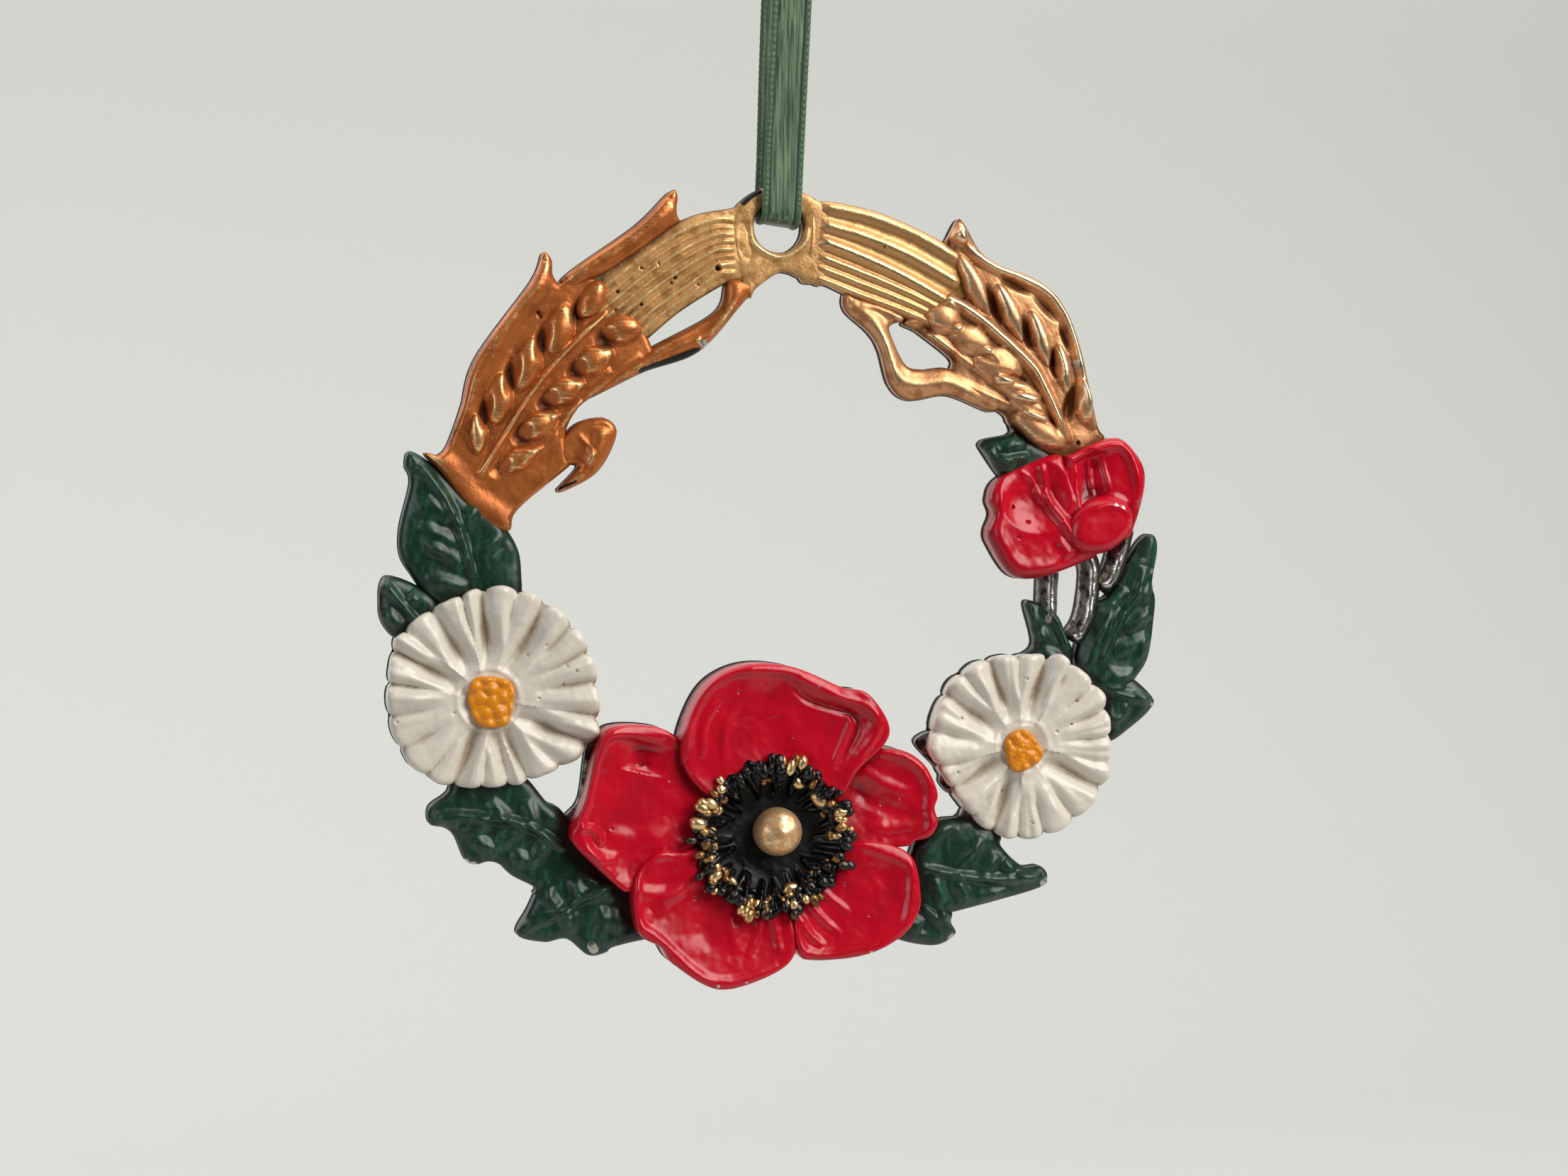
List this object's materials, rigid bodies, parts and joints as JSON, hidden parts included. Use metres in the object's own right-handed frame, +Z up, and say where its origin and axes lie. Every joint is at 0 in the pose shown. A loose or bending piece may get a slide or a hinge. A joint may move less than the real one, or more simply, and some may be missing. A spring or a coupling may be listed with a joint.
{
  "type": "pewter wreath ornament",
  "caption": "Small cast pewter wreath in painted low relief, with wheat ears, leaves, daisies and poppies, hung on a loop of narrow satin ribbon.",
  "frame": {"origin": "top of the ribbon's loop, where the ornament is hung", "axes": "+X to the wreath's right as seen from the front, the front faces -Y, +Z up"},
  "size_m": [0.065, 0.0063, 0.0841],
  "materials": {
    "painted_pewter": "hand-painted glossy enamel and bronze paint over blackened pewter, worn to bare metal on edges",
    "satin_ribbon": "woven satin with fine lengthwise threads and corded edges"
  },
  "bodies": {
    "root": {"wreath": "painted_pewter", "ribbon": "satin_ribbon"}
  },
  "joints": []
}
